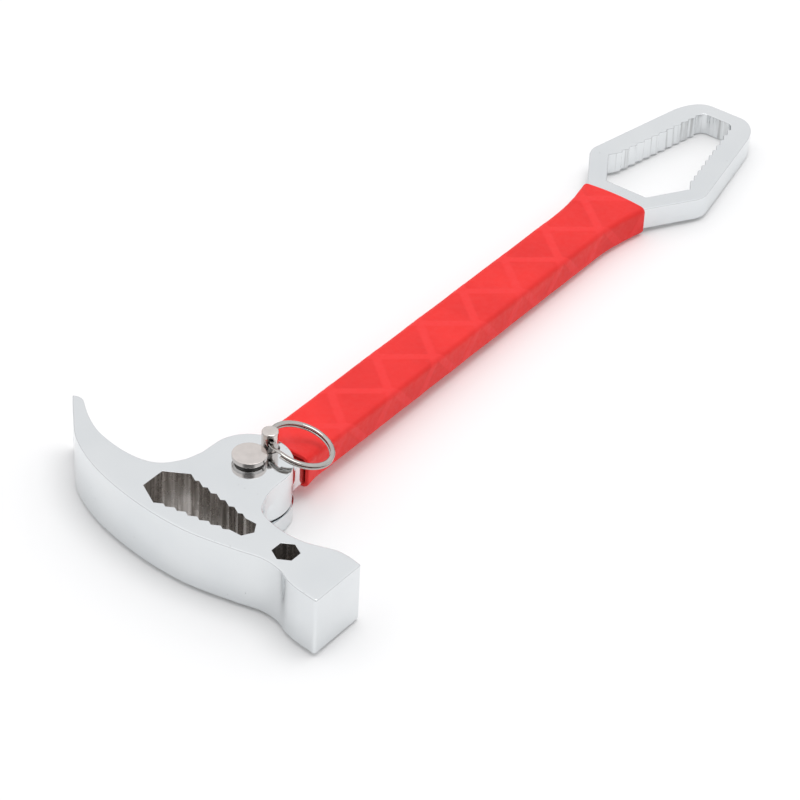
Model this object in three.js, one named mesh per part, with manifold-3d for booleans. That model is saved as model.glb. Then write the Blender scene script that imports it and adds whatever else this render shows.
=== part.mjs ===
// Folding fire hydrant wrench: a hammer-and-claw head with a stepped hexagon
// socket, hinged on a flat bar handle that ends in a toothed ring wrench.
// Millimetres. The pivot axis is Z at the origin, and the head's underside is
// z = 0. The striking face looks along +X, and the handle lies along +Y.
import * as THREE from 'three';
import Module from 'manifold-3d';
import { mergeVertices } from 'three/addons/utils/BufferGeometryUtils.js';

const wasm = await Module();
wasm.setup();

// ---- driving dimensions ----------------------------------------------------
const HEAD_THICK = 22;
const LUG_R = 14.7; // round hinge lug, concentric with the pivot
const MID_Z = HEAD_THICK / 2;
const FACE_X = 60; // striking face
const FACE_Y = [-41.7, -18.6];
const HEAD_FRONT = [ // the head's long outer side, from the face to the claw's tip
  [51.5, -40.7], [46.6, -39.3], [41.5, -36.9], [34, -36], [24, -38.1], [6, -40.8],
  [-14, -39.7], [-34.8, -34.9], [-50.5, -27.2], [-60.5, -17.5], [-67.4, -9.9],
];
const CLAW_TIP = [[-65.6, -8.3], [-63, -9.3]]; // control point and end of its curve
const CLAW_BACK = [ // from the claw's tip to the lug
  [-55, -15.4], [-46, -19.7], [-33, -21.8], [-23.2, -19.9], [-17.4, -13.5], [-14.9, -6],
];
const HEAD_BACK = [ // from the lug to the hammer end
  [14.8, -6], [16.2, -12], [20, -17.9], [29, -20.9], [38, -21.2], [45, -19.3],
];
const HAMMER_BACK = [[50, -17.8], [55, -17.8]];

const SOCKET_X = -10.1; // centre of the largest hexagon of the stepped socket
const SOCKET_Y = -26.9;
const SOCKET_STEP = 4.25; // pitch of the hexagons along the head
const SOCKET_DROP = 0.12; // and how much lower each one lies
const SOCKET_RADII = [9.5, 8.5, 7.7, 7.2, 6.5, 5.85, 5.0];
const SOCKET_LAST_R = 4.4; // the last hexagon points its corner along +X
const SOCKET_LAST_X = 19.8;
const SOCKET_LAST_Y = -27.7;
const KEY_HOLE_X = 37.9; // small hexagon hole, 8 mm across its flats
const KEY_HOLE_Y = -28.8;
const KEY_HOLE_FLATS = 8;

const NOTCH_TIP_X = -72; // nail notch, cut through the claw from its tip
const NOTCH_ROOT_X = -58.5;
const NOTCH_TIP_W = 8.4;
const NOTCH_ROOT_W = 3;

const BAR_THICK = 8.75; // handle bar, hinge tongue and ring wrench
const BAR_LOW = MID_Z - BAR_THICK / 2;
const BAR_HIGH = MID_Z + BAR_THICK / 2;
const SLOT_GAP = 0.375; // one friction washer on each side of the tongue
const TONGUE_R = 14.5;
const SLOT_FLOOR_R = 15.2; // the slot's round bottom, which the tongue turns in
const SLOT_SHOULDER_Y = -10; // the folded handle passes beyond this line

const PIVOT_R = 4;
const PIVOT_HOLE_R = 4.25;
const RIVET_HEAD_R = 5.85;
const RIVET_HEAD_H = 2.3;
const RIVET_CHAMFER = 0.2;
const RIVET_UNDERCUT = 0.7; // the larger chamfer under its head
const RIVET_FOOT_R = 5.6; // countersunk foot, flush with the underside
const RIVET_FOOT_H = 1.5;
const RIVET_SINK_CLEARANCE = 0.3; // around the foot, in the head's countersink
const RIVET_SINK_LIP = 0.1;
const WASHER_R = 4.9;
const WASHER_H = 0.75;
const FRICTION_WASHER_R = 6.6;

const PIN_X = 0.8; // spring-loaded lock pin beside the pivot
const PIN_Y = 9.7;
const PIN_R = 2.85;
const PIN_CHAMFER = 0.5;
const PIN_TOP_Z = 29;
const PIN_TIP_Z = 15.475; // just clear of the tongue, so the handle can swing
const PIN_GUIDE_R = 3.1;
const POCKET_R = 3.75; // spring pocket, open to the clevis slot
const POCKET_ROOF_Z = 20.5;
const FLANGE_R = 3.5;
const FLANGE_LOW_Z = 16.9;
const FLANGE_H = 0.9;
const LOCK_HOLE_DEPTH = 1.4;
const LOCK_HOLE_R = 3.1;
const FOLD_ANGLES = [0, -90, 85]; // handle angles that the pin can lock
const SPRING_WIRE_R = 0.24;
const SPRING_R = 3.2;
const SPRING_TURNS = 2.5;
const SPRING_SIDES = 6;
const SPRING_STEPS = 40;
const SPRING_END_GAP = 0.05;

const RING_R = 10.75; // split ring, mean radius
const RING_WIDTH = 1.7; // radial width of its wire
const RING_TURN_H = 1.1;
const RING_EDGE = 0.3; // the wire's cut corners
const RING_LAYER = 1.2; // height from one turn to the next
const RING_HOLE_Z = 26.1;
const RING_HOLE_R = 1.75;
const RING_TILT = 17.3; // degrees below the horizontal
const RING_STEPS = 90;
const RING_JOG = 30; // degrees over which the wire steps up a layer
const RING_START = 228; // where its lower turn begins, seen from the ring's middle
const RING_AZIMUTH = 41; // the ring lies towards +X +Y of the pin

const BAR_HALF = 9; // half width of the handle bar
const BAR_FLARE = 3.9; // and how much wider it is where the ring wrench begins
const NECK_SPREAD = 2.6; // the bar's sides spread to meet the round tongue
const NECK_CURVE_Y = 10.6;
const NECK_END_Y = 14.5; // the tongue has narrowed to the bar here
const FLARE_START_Y = 188;
const FLARE_END_Y = 215.8;
const FLARE_STATIONS = [188, 194, 200, 206, 211, FLARE_END_Y]; // along the flare

const GRIP_START_Y = 17.7;
const GRIP_END_Y = 214.4;
const GRIP_WALL = 1;
const GRIP_GAP = 0.25;
const GRIP_EDGE = 1.9; // rounding of the sleeve's long edges
const GRIP_BULGE = 1.2; // the sleeve's far end bows outward
const GRIP_LIP = 0.75; // and its near end is thicker
const GRIP_LIP_LENGTH = 5;

const RING_END_SPREAD = 0.63; // how fast the ring wrench's sides part beyond the flare
const RING_END_WIDEST = [[23.7, 233], [25.65, 236.2], [24.9, 239.6]]; // control points
const RING_END_CORNER = [[17.1, 278.3], [15.2, 288.3], [10.2, 291.8], [6.2, 291.8]];
const JAW_NEAR_Y = 222.3; // the ring wrench's opening
const JAW_NEAR = 8.95;
const JAW_WIDE_Y = 237.5;
const JAW_WIDE = 18.1;
const JAW_FAR_Y = 285.4;
const JAW_FAR = 5.9;
const JAW_TEETH = 11;
const JAW_ROOT_X = 15.9; // the valley behind the first tooth
const JAW_ROOT_Y = 243.6;
const JAW_PITCH_Y = 3.85; // from one tooth to the next
const JAW_PITCH_X = 0.81;
const JAW_TOOTH_BACK = 1.22; // length of a tooth's back, along Y
const JAW_TOOTH_LEAN = 30; // degrees from Y that the back leans

const SEGMENTS = 36;
const PAST = 1; // how far a cutter reaches past the face it opens

// ---- materials -------------------------------------------------------------
const metal = (color, roughness) =>
  new THREE.MeshStandardMaterial({ color, roughness, metalness: 1 });
const chrome = metal(0xd9dde0, 0.18);
const nickel = metal(0xcfc6bf, 0.3);
const springSteel = metal(0x8f9094, 0.35);
const bronze = metal(0xb08a55, 0.45);
const redVinyl = new THREE.MeshStandardMaterial({ color: 0xe5352f, roughness: 0.5 });

// ---- solids ----------------------------------------------------------------
const v2 = (x, y) => new THREE.Vector2(x, y);
const points = (pairs) => pairs.map(([x, y]) => v2(x, y));

function toSolid(geometry) {
  const plain = geometry.index ? geometry.toNonIndexed() : geometry.clone();
  plain.deleteAttribute('normal');
  plain.deleteAttribute('uv');
  const merged = mergeVertices(plain, 1e-4);
  return new wasm.Manifold(new wasm.Mesh({
    numProp: 3,
    vertProperties: Float32Array.from(merged.attributes.position.array),
    triVerts: Uint32Array.from(merged.index.array),
  }));
}

function toGeometry(solid) {
  const mesh = solid.getMesh();
  const geometry = new THREE.BufferGeometry();
  const position = new THREE.BufferAttribute(mesh.vertProperties.slice(), 3);
  geometry.setAttribute('position', position);
  geometry.setIndex(new THREE.BufferAttribute(mesh.triVerts.slice(), 1));
  geometry.computeVertexNormals();
  return geometry;
}

// A closed surface over matching rings of points, with flat ends. Each ring
// runs so that the next ring lies on its right-hand side.
function skin(rings) {
  const n = rings[0].length;
  const last = (rings.length - 1) * n;
  const index = [];
  for (let i = 0; i < last; i += n) {
    for (let j = 0; j < n; j += 1) {
      const k = (j + 1) % n;
      index.push(i + j, i + n + j, i + k, i + k, i + n + j, i + n + k);
    }
  }
  for (let j = 1; j < n - 1; j += 1) {
    index.push(0, j, j + 1, last, last + j + 1, last + j);
  }
  const geometry = new THREE.BufferGeometry();
  geometry.setAttribute('position', new THREE.Float32BufferAttribute(rings.flat(2), 3));
  geometry.setIndex(index);
  geometry.computeVertexNormals();
  return geometry;
}

// A plan outline raised from z = low to z = high.
function slab(shape, low, high, curveSegments = 10) {
  const depth = high - low;
  const geometry = new THREE.ExtrudeGeometry(shape, { depth, bevelEnabled: false, curveSegments });
  return toSolid(geometry.translate(0, 0, low));
}

// A solid of revolution about Z from [radius, z] pairs that close on the axis.
function turned(profile, x = 0, y = 0) {
  const geometry = new THREE.LatheGeometry(points(profile), SEGMENTS);
  return toSolid(geometry.rotateX(Math.PI / 2).translate(x, y, 0));
}

function cylinder(radius, low, high, x = 0, y = 0) {
  return turned([[0, low], [radius, low], [radius, high], [0, high]], x, y);
}

function hexagon(x, y, radius, firstCorner) {
  const corners = [];
  for (let i = 0; i < 6; i += 1) {
    const angle = THREE.MathUtils.degToRad(firstCorner + 60 * i);
    corners.push(v2(x + radius * Math.cos(angle), y + radius * Math.sin(angle)));
  }
  return new THREE.Shape(corners);
}

function rectangle(x0, x1, y0, y1) {
  return new THREE.Shape(points([[x0, y0], [x1, y0], [x1, y1], [x0, y1]]));
}

const pinAngle = Math.atan2(PIN_Y, PIN_X);
const pinReach = Math.hypot(PIN_X, PIN_Y);

// ---- head ------------------------------------------------------------------
function headOutline() {
  const shape = new THREE.Shape();
  const [near, far] = FACE_Y;
  shape.moveTo(FACE_X, far);
  shape.lineTo(FACE_X, near);
  shape.lineTo(...HEAD_FRONT[0]);
  shape.splineThru(points(HEAD_FRONT.slice(1)));
  shape.quadraticCurveTo(...CLAW_TIP[0], ...CLAW_TIP[1]);
  shape.splineThru(points(CLAW_BACK));
  shape.lineTo(-LUG_R, 0);
  shape.absarc(0, 0, LUG_R, Math.PI, 0, true);
  shape.splineThru(points(HEAD_BACK));
  shape.splineThru(points(HAMMER_BACK));
  return shape;
}

function steppedSocket() {
  const outlines = SOCKET_RADII.map((radius, i) =>
    hexagon(SOCKET_X + i * SOCKET_STEP, SOCKET_Y - i * SOCKET_DROP, radius, 30));
  outlines.push(hexagon(SOCKET_LAST_X, SOCKET_LAST_Y, SOCKET_LAST_R, 0));
  const cutters = outlines.map((outline) => slab(outline, -PAST, HEAD_THICK + PAST));
  return cutters.reduce((all, one) => all.add(one));
}

// The notch is drawn in the XZ plane and cut through the claw along Y.
function nailNotch() {
  const tip = NOTCH_TIP_W / 2;
  const root = NOTCH_ROOT_W / 2;
  const depth = 40;
  const shape = new THREE.Shape();
  shape.moveTo(NOTCH_TIP_X, tip);
  shape.lineTo(NOTCH_TIP_X, -tip);
  shape.lineTo(NOTCH_ROOT_X, -root);
  shape.absarc(NOTCH_ROOT_X, 0, root, -Math.PI / 2, Math.PI / 2, false);
  const geometry = new THREE.ExtrudeGeometry(shape, { depth, bevelEnabled: false, curveSegments: 6 });
  return toSolid(geometry.rotateX(Math.PI / 2).translate(0, 0, MID_Z));
}

function clevisSlot() {
  const low = BAR_LOW - SLOT_GAP;
  const high = BAR_HIGH + SLOT_GAP;
  const beyond = 2 * LUG_R;
  const opening = slab(rectangle(-beyond, beyond, SLOT_SHOULDER_Y, beyond), low, high);
  return cylinder(SLOT_FLOOR_R, low, high).add(opening);
}

function hammerHead() {
  const sinkR = RIVET_FOOT_R + RIVET_SINK_CLEARANCE;
  const sinkTop = RIVET_FOOT_H + RIVET_SINK_CLEARANCE;
  const countersink = turned([
    [0, -PAST], [sinkR, -PAST], [sinkR, RIVET_SINK_LIP], [PIVOT_HOLE_R, sinkTop], [0, sinkTop],
  ]);
  const keyHole = hexagon(KEY_HOLE_X, KEY_HOLE_Y, KEY_HOLE_FLATS / Math.sqrt(3), 30);
  return slab(headOutline(), 0, HEAD_THICK, 8)
    .subtract(clevisSlot())
    .subtract(steppedSocket())
    .subtract(slab(keyHole, -PAST, HEAD_THICK + PAST))
    .subtract(nailNotch())
    .subtract(cylinder(PIVOT_HOLE_R, -PAST, HEAD_THICK + PAST))
    .subtract(countersink)
    .subtract(cylinder(PIN_GUIDE_R, MID_Z, HEAD_THICK + PAST, PIN_X, PIN_Y))
    .subtract(cylinder(POCKET_R, MID_Z, POCKET_ROOF_Z, PIN_X, PIN_Y));
}

// ---- handle ----------------------------------------------------------------
// Half width of the bar at a place along Y: straight, then flared to the ring
// wrench, whose sides go on in a straight line beyond the flare.
function barHalf(y) {
  const t = Math.max(0, (y - FLARE_START_Y) / (FLARE_END_Y - FLARE_START_Y));
  const beyond = Math.max(0, y - FLARE_END_Y) * RING_END_SPREAD;
  return BAR_HALF + BAR_FLARE * Math.min(t, 1) ** 2 + beyond;
}

const mirrored = (pairs) => pairs.map(([x, y]) => [-x, y]).reverse();

// The right half of the handle, from the tongue to the ring wrench's far end.
function handleSide() {
  const neck = BAR_HALF + NECK_SPREAD;
  const side = new THREE.Path();
  side.moveTo(neck, Math.sqrt(TONGUE_R ** 2 - neck ** 2));
  side.quadraticCurveTo(BAR_HALF, NECK_CURVE_Y, BAR_HALF, NECK_END_Y);
  FLARE_STATIONS.forEach((y) => side.lineTo(barHalf(y), y));
  const [near, widest, beyond] = RING_END_WIDEST;
  side.lineTo(...near);
  side.quadraticCurveTo(...widest, ...beyond);
  const [low, shoulder, end, far] = RING_END_CORNER;
  side.lineTo(...low);
  side.bezierCurveTo(...shoulder, ...end, ...far);
  return side.getPoints(8).map(({ x, y }) => [x, y]);
}

function handleOutline() {
  const right = handleSide();
  const join = Math.asin((BAR_HALF + NECK_SPREAD) / TONGUE_R);
  const tongue = new THREE.Path();
  tongue.absarc(0, 0, TONGUE_R, Math.PI / 2 + join, 2.5 * Math.PI - join, false);
  const round = tongue.getPoints(16).slice(1, -1);
  return new THREE.Shape([...points([...right, ...mirrored(right)]), ...round]);
}

// The right-hand side of the opening. Each tooth has a long face that leans
// inward and a short back that leans outward again.
function jawSide() {
  const side = [[JAW_NEAR, JAW_NEAR_Y], [JAW_WIDE, JAW_WIDE_Y]];
  for (let i = 0; i < JAW_TEETH; i += 1) {
    const x = JAW_ROOT_X - i * JAW_PITCH_X;
    const y = JAW_ROOT_Y + i * JAW_PITCH_Y;
    const inward = JAW_TOOTH_BACK * Math.tan(THREE.MathUtils.degToRad(JAW_TOOTH_LEAN));
    side.push([x - inward, y - JAW_TOOTH_BACK], [x, y]);
  }
  side.push([JAW_FAR, JAW_FAR_Y]);
  return side;
}

function jawOpening() {
  const right = jawSide();
  return new THREE.Shape(points([...right, ...mirrored(right)]));
}

function wrenchHandle() {
  const body = slab(handleOutline(), BAR_LOW, BAR_HIGH, 8)
    .subtract(slab(jawOpening(), BAR_LOW - PAST, BAR_HIGH + PAST))
    .subtract(cylinder(PIVOT_HOLE_R, BAR_LOW - PAST, BAR_HIGH + PAST));
  const floor = BAR_HIGH - LOCK_HOLE_DEPTH;
  return FOLD_ANGLES.reduce((solid, fold) => {
    const angle = pinAngle - THREE.MathUtils.degToRad(fold);
    const x = pinReach * Math.cos(angle);
    const y = pinReach * Math.sin(angle);
    return solid.subtract(cylinder(LOCK_HOLE_R, floor, BAR_HIGH + PAST, x, y));
  }, body);
}

// How thick the sleeve is at a place along Y.
function gripWall(y) {
  const lip = Math.max(0, 1 - (y - GRIP_START_Y) / GRIP_LIP_LENGTH);
  return GRIP_WALL + GRIP_LIP * lip;
}

// A closed bar along Y with a rounded rectangular section, offset(y) outside
// the handle bar, whose far end bulges by the given amount.
function barLoft(offset, edge, start, end, bulge) {
  const between = [GRIP_START_Y + GRIP_LIP_LENGTH, ...FLARE_STATIONS];
  const stations = between.filter((y) => y > start && y < end);
  const rings = [start, ...stations, end].map((y) => {
    const half = barHalf(y) + offset(y);
    const thick = BAR_THICK / 2 + offset(y);
    const ring = [];
    [[1, 1, 0], [-1, 1, 90], [-1, -1, 180], [1, -1, 270]].forEach(([sx, sz, first]) => {
      for (let i = 0; i <= 3; i += 1) {
        const angle = THREE.MathUtils.degToRad(first + 30 * i);
        const x = sx * (half - edge) + edge * Math.cos(angle);
        const rise = y === end ? bulge * (1 - (x / half) ** 2) : 0;
        ring.push([x, y + rise, MID_Z + sz * (thick - edge) + edge * Math.sin(angle)]);
      }
    });
    return ring;
  });
  return toSolid(skin(rings));
}

function gripSleeve() {
  const skinOffset = (y) => GRIP_GAP + gripWall(y);
  const boreEdge = 0.05;
  const boreEnd = 8 * PAST; // the bore reaches this far past both ends
  const outer = barLoft(skinOffset, GRIP_EDGE, GRIP_START_Y, GRIP_END_Y, GRIP_BULGE);
  const bore = barLoft(() => GRIP_GAP, boreEdge, GRIP_START_Y - boreEnd, GRIP_END_Y + boreEnd, 0);
  return outer.subtract(bore);
}

// ---- pivot -----------------------------------------------------------------
function pivotRivet() {
  const headLow = HEAD_THICK + WASHER_H;
  const headHigh = headLow + RIVET_HEAD_H;
  return turned([
    [0, 0], [RIVET_FOOT_R, 0], [PIVOT_R, RIVET_FOOT_H], [PIVOT_R, headLow],
    [RIVET_HEAD_R - RIVET_UNDERCUT, headLow], [RIVET_HEAD_R, headLow + RIVET_UNDERCUT],
    [RIVET_HEAD_R, headHigh - RIVET_CHAMFER], [RIVET_HEAD_R - RIVET_CHAMFER, headHigh],
    [0, headHigh],
  ]);
}

function washer(outer, low, height) {
  return cylinder(outer, low, low + height)
    .subtract(cylinder(PIVOT_HOLE_R, low - PAST, low + height + PAST));
}

// ---- lock pin and its spring -----------------------------------------------
function lockPin() {
  const flangeHigh = FLANGE_LOW_Z + FLANGE_H;
  const narrow = PIN_R - PIN_CHAMFER;
  const body = turned([
    [0, PIN_TIP_Z], [narrow, PIN_TIP_Z], [PIN_R, PIN_TIP_Z + PIN_CHAMFER], [PIN_R, FLANGE_LOW_Z],
    [FLANGE_R, FLANGE_LOW_Z], [FLANGE_R, flangeHigh], [PIN_R, flangeHigh],
    [PIN_R, PIN_TOP_Z - PIN_CHAMFER], [narrow, PIN_TOP_Z], [0, PIN_TOP_Z],
  ], PIN_X, PIN_Y);
  const bore = new THREE.CylinderGeometry(RING_HOLE_R, RING_HOLE_R, 4 * PIN_R, 24);
  bore.rotateZ(THREE.MathUtils.degToRad(RING_AZIMUTH)).translate(PIN_X, PIN_Y, RING_HOLE_Z);
  return body.subtract(toSolid(bore));
}

// A bar of round or flat section swept along a path about the Z axis. path(t)
// gives [angle, height] for t from 0 to 1, and section lists [radial, axial].
function coil(radius, path, section, steps) {
  const rings = [];
  for (let i = 0; i <= steps; i += 1) {
    const [angle, height] = path(i / steps);
    rings.push(section.map(([out, up]) => {
      const r = radius + out;
      return [r * Math.cos(angle), r * Math.sin(angle), height + up];
    }));
  }
  return skin(rings);
}

function roundSection(radius, sides) {
  const angles = Array.from({ length: sides }, (_, i) => (2 * Math.PI * i) / sides);
  return angles.map((angle) => [radius * Math.cos(angle), radius * Math.sin(angle)]);
}

function lockSpring() {
  const low = FLANGE_LOW_Z + FLANGE_H + SPRING_WIRE_R + SPRING_END_GAP;
  const high = POCKET_ROOF_Z - SPRING_WIRE_R - SPRING_END_GAP;
  const path = (t) => [t * SPRING_TURNS * 2 * Math.PI, THREE.MathUtils.lerp(low, high, t)];
  const section = roundSection(SPRING_WIRE_R, SPRING_SIDES);
  return coil(SPRING_R, path, section, SPRING_STEPS).translate(PIN_X, PIN_Y, 0);
}

// ---- split ring ------------------------------------------------------------
// Two turns lie on each other, and the wire steps up a layer between its ends.
function splitRing() {
  const w = RING_WIDTH / 2;
  const h = RING_TURN_H / 2;
  const edge = RING_EDGE;
  const section = [
    [w, edge - h], [w, h - edge], [w - edge, h], [edge - w, h],
    [-w, h - edge], [-w, edge - h], [edge - w, -h], [w - edge, -h],
  ];
  const jog = THREE.MathUtils.degToRad(RING_JOG);
  const total = 4 * Math.PI - jog;
  const stepUp = 2 * Math.PI - jog;
  const path = (t) => {
    const angle = total * t;
    const rise = THREE.MathUtils.smoothstep(angle, stepUp, 2 * Math.PI);
    return [angle, RING_LAYER * (rise - 0.5)];
  };
  return coil(RING_R, path, section, RING_STEPS);
}

// ---- assembly --------------------------------------------------------------
const part = new THREE.Group();

function place(parent, name, geometry, material) {
  const mesh = new THREE.Mesh(geometry, material);
  mesh.name = name;
  parent.add(mesh);
  return mesh;
}

place(part, 'hammer_head', toGeometry(hammerHead()), chrome);
place(part, 'wrench_handle', toGeometry(wrenchHandle()), chrome);
place(part, 'grip_sleeve', toGeometry(gripSleeve()), redVinyl);
place(part, 'pivot_rivet', toGeometry(pivotRivet()), nickel);
place(part, 'rivet_washer', toGeometry(washer(WASHER_R, HEAD_THICK, WASHER_H)), nickel);
place(part, 'friction_washer_lower',
  toGeometry(washer(FRICTION_WASHER_R, BAR_LOW - SLOT_GAP, SLOT_GAP)), bronze);
place(part, 'friction_washer_upper',
  toGeometry(washer(FRICTION_WASHER_R, BAR_HIGH, SLOT_GAP)), bronze);
place(part, 'lock_pin', toGeometry(lockPin()), nickel);
place(part, 'lock_spring', lockSpring(), springSteel);

// The ring hangs in the pin's cross hole: its wire crosses the hole where the
// ring's own -X side is, and the ring lies outward and down from there.
const ringHinge = new THREE.Group();
ringHinge.position.set(PIN_X, PIN_Y, RING_HOLE_Z);
const [tilt, azimuth] = [RING_TILT, RING_AZIMUTH].map(THREE.MathUtils.degToRad);
ringHinge.rotation.set(0, tilt, azimuth, 'ZYX');
const ring = place(ringHinge, 'split_ring', splitRing(), springSteel);
ring.position.x = RING_R;
ring.rotation.z = THREE.MathUtils.degToRad(RING_START);
part.add(ringHinge);

export default part;
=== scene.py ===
"""Looks of a folding hydrant wrench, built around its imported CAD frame."""

import math

import bmesh
import bpy
from mathutils import Matrix, Vector, noise
from mathutils.geometry import tessellate_polygon


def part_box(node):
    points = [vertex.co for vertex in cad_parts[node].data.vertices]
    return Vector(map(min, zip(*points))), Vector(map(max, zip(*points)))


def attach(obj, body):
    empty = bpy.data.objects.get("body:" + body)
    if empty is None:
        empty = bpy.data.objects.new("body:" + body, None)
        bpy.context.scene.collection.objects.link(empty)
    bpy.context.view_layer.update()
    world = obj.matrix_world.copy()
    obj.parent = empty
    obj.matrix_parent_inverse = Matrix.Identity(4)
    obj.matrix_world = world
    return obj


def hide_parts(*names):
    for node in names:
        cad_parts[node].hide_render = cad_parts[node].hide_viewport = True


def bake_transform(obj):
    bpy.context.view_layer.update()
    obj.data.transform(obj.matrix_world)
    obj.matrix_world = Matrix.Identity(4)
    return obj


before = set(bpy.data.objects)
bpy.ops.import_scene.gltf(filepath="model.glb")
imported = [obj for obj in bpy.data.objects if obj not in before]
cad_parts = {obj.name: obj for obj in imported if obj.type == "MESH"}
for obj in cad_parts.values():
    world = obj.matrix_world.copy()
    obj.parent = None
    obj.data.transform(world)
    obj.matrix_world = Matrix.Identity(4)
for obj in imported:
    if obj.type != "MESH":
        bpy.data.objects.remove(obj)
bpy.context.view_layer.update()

MM = 0.001

# ---- places and sizes, in millimetres ---------------------------------------
HEAD_LOW, HEAD_HIGH = (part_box("hammer_head")[i].z / MM for i in (0, 1))
BAR_LOW, BAR_HIGH = (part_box("wrench_handle")[i].z / MM for i in (0, 1))
FACE_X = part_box("hammer_head")[1].x / MM
FACE_Y = (-41.7, -18.6)
FACE_EDGE = 0.9  # rounding of the striking face's upright edges
MID_Z = (BAR_LOW + BAR_HIGH) / 2
BAR_THICK = BAR_HIGH - BAR_LOW
HEAD_FRONT = [  # the head's long outer side, from the face to the claw's tip
    (51.5, -40.7), (46.6, -39.3), (41.5, -36.9), (34, -36), (24, -38.1), (6, -40.8),
    (-14, -39.7), (-34.8, -34.9), (-50.5, -27.2), (-60.5, -17.5), (-67.4, -9.9),
]
CLAW_TIP = [(-67.4, -9.9), (-65.6, -8.3), (-63, -9.3)]  # control points
CLAW_BACK = [  # from the claw's tip to the lug
    (-63, -9.3), (-55, -15.4), (-46, -19.7), (-33, -21.8), (-23.2, -19.9), (-17.4, -13.5),
    (-14.9, -6),
]
HEAD_BACK = [(14.8, -6), (16.2, -12), (20, -17.9), (29, -20.9), (38, -21.2), (45, -19.3)]
HAMMER_BACK = [(45, -19.3), (50, -17.8), (55, -17.8)]

LUG_R = 14.7
TONGUE_R = 14.3
SLOT_GAP = 0.375  # on each side of the tongue
SLOT_FLOOR_R = 15.2  # the slot's round bottom, which the tongue turns in
SLOT_SHOULDER_Y = -10
HEAD_EDGE = 0.5  # rounding of the long edges
HANDLE_EDGE = 0.4
SOCKET_EDGE = 0.08

SOCKET_X = -10.1  # centre of the largest hexagon of the stepped socket
SOCKET_Y = -26.9
SOCKET_STEP = 4.25  # pitch of the hexagons along the head
SOCKET_RADII = [9.5, 8.5, 7.7, 7.2, 6.5, 5.85, 5.0]
SOCKET_LAST_R = 4.4  # the last hexagon points its corner along +X
SOCKET_LAST_X = 19.8
SOCKET_LAST_Y = -27.7
SOCKET_DROP = 0.12  # how much lower each hexagon lies than the one before
KEY_HOLE = (37.9, -28.8)
KEY_HOLE_FLATS = 8

NOTCH_TIP = (-72, 8.4)  # x, and the notch's width there
NOTCH_ROOT = (-58.5, 3)

PIVOT_R = 4
PIVOT_HOLE_R = 4.25
RIVET_HEAD_R = 5.85
RIVET_HEAD_H = 2.3
RIVET_CHAMFER = 0.2
RIVET_UNDERCUT = 0.7
RIVET_FOOT_R = 5.6
RIVET_FOOT_H = 1.5
RIVET_SINK_LIP = 0.1  # the countersink's upright rim
RIVET_SINK_BESIDE = 0.3  # and its clearance beside and above the foot
RIVET_SINK_ABOVE = 0.35
WASHER_H = 0.75
WASHER_R = 4.9
FRICTION_WASHER_R = 6.6
FRICTION_WASHER_AIR = 0.02  # above and below each one

PIN = (0.8, 9.7)
PIN_R = 2.85
PIN_CHAMFER = 0.5
PIN_GUIDE_R = 3.1
PIN_GUIDE_CHAMFER = 0.3
POCKET_R = 3.75
POCKET_ROOF_Z = 20.5
PIN_TIP_Z, PIN_TOP_Z = (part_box("lock_pin")[i].z / MM for i in (0, 1))
FLANGE_R = 3.5
FLANGE_Z = (16.9, 17.8)
LOCK_HOLE_R = 3.1
LOCK_HOLE_DEPTH = 1.4
LOCK_HOLE_CHAMFER = 0.25
FOLD_ANGLES = (0, -90, 85)
SPRING_R = 3.2
SPRING_WIRE_R = 0.2
SPRING_TURNS = 2.5
SPRING_END_GAP = 0.05

RING_R = 10.75
RING_WIDTH = 1.7
RING_TURN_H = 0.88
RING_LAYER = 1.2  # height from one turn to the next
RING_HOLE_Z = 26.1
RING_HOLE_R = 1.75
RING_TILT = 17.3  # degrees below level
RING_JOG = 30  # degrees over which the wire steps up a layer
RING_START = 228  # where its lower turn begins, seen from the ring's middle
RING_AZIMUTH = 41

BAR_HALF = 9
BAR_FLARE = 3.9  # how much wider the bar is where the ring wrench begins
NECK_SPREAD = 2.6  # and where it meets the round tongue
NECK_CURVE_Y = 10.6
NECK_END_Y = 14.5
FLARE_START_Y = 188
FLARE_END_Y = 215.8
GRIP_START_Y = 17.7
GRIP_END_Y = 214.4
GRIP_BULGE = 1.2  # the far end bows outward, from GRIP_BULGE_Y on
GRIP_BULGE_Y = 190
GRIP_SKIN = 1.25  # from the bar to the sleeve's outside
GRIP_BORE = 0.28  # and to its inside
GRIP_LIP = 0.75  # the near end is thicker
GRIP_LIP_LENGTH = 5
GRIP_EDGE = 1.9
GRIP_LEAST_EDGE = 0.3
GRIP_END_ROUND = 0.7  # length of each end's rounding
GRIP_RIPPLE = 0.07
GRIP_RIPPLE_SCALE = 0.09
GRIP_AROUND = 60  # about the length once round the sleeve
EMBOSS_HEIGHT = 0.06
EMBOSS_PERIOD = 25.4
EMBOSS_HALF_WIDTH = 1.45
EMBOSS_SOFT = 0.25
EMBOSS_START_Y = 52.5  # two bands cross here, a little to the left of the middle
EMBOSS_TWIST = 0.116

RING_END_WIDEST = [(23.7, 233), (25.65, 236.2), (24.9, 239.6)]  # control points
RING_END_CORNER = [(17.1, 278.3), (15.2, 288.3), (10.2, 291.8), (6.2, 291.8)]
JAW_NEAR_Y = 222.3
JAW_NEAR = 8.95
JAW_NEAR_CORNER = (0.6, 0.4)
JAW_WIDE_Y = 237.5
JAW_WIDE = 18.1
JAW_FAR_Y = 285.4
JAW_FAR = 5.9
JAW_FAR_ROUND = 1.7
JAW_EDGE = 0.3
JAW_TEETH = 11
JAW_ROOT = (15.9, 243.6)  # the valley behind the first tooth
JAW_PITCH = (-0.81, 3.85)
JAW_TOOTH_BACK = (-0.704, -1.22)  # from a valley to the tip before it
JAW_TOOTH_BEVEL = 0.3

FLOOR_REST_Y = 14.7  # the tool leans on the lug's rim and on the ring's far end
FLOOR_SLOPE = BAR_LOW / (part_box("wrench_handle")[1].y / MM - FLOOR_REST_Y)

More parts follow.
